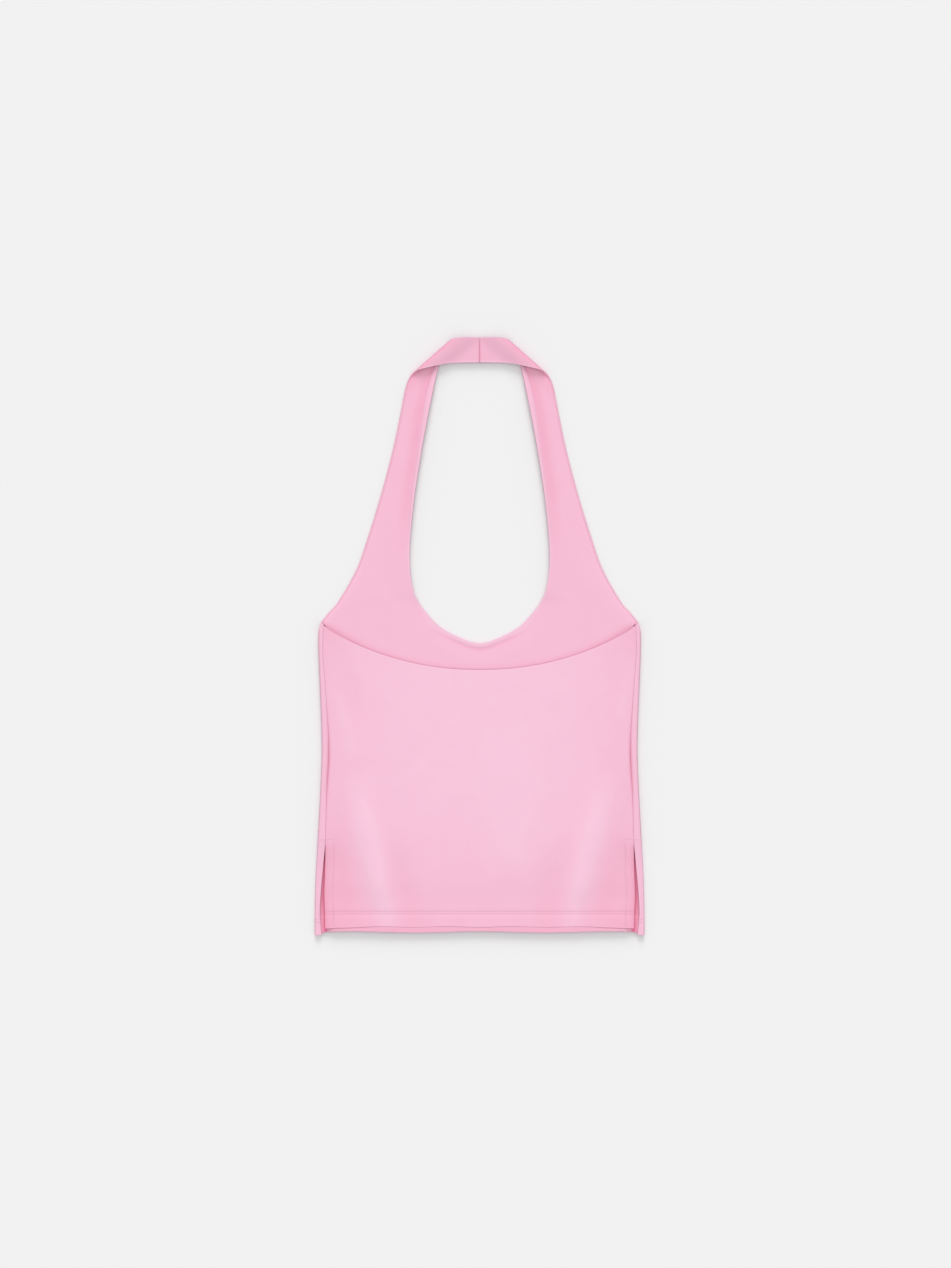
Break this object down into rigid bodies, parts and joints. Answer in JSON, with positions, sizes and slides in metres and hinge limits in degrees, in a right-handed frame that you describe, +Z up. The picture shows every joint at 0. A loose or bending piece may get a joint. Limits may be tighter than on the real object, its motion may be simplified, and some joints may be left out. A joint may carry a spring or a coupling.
{
  "type": "halter neck top",
  "caption": "Sleeveless jersey halter neck top laid flat, with halter straps joined at the back of the neck, a scooped back edge, a stitched hem and side slits",
  "frame": {"origin": "On the surface that the garment lies on, in the middle of its outline", "axes": "+Z up from the surface, +Y from the hem towards the neck, +X to the right as seen from above"},
  "size_m": [0.3708, 0.6722, 0.0072],
  "materials": {
    "outer_jersey": "matt pink cotton jersey, fine knit",
    "lining_jersey": "matt pink cotton jersey, fine knit, self lining"
  },
  "bodies": {
    "root": {"front": "outer_jersey", "front_lining": "lining_jersey", "back": "outer_jersey"}
  },
  "joints": []
}
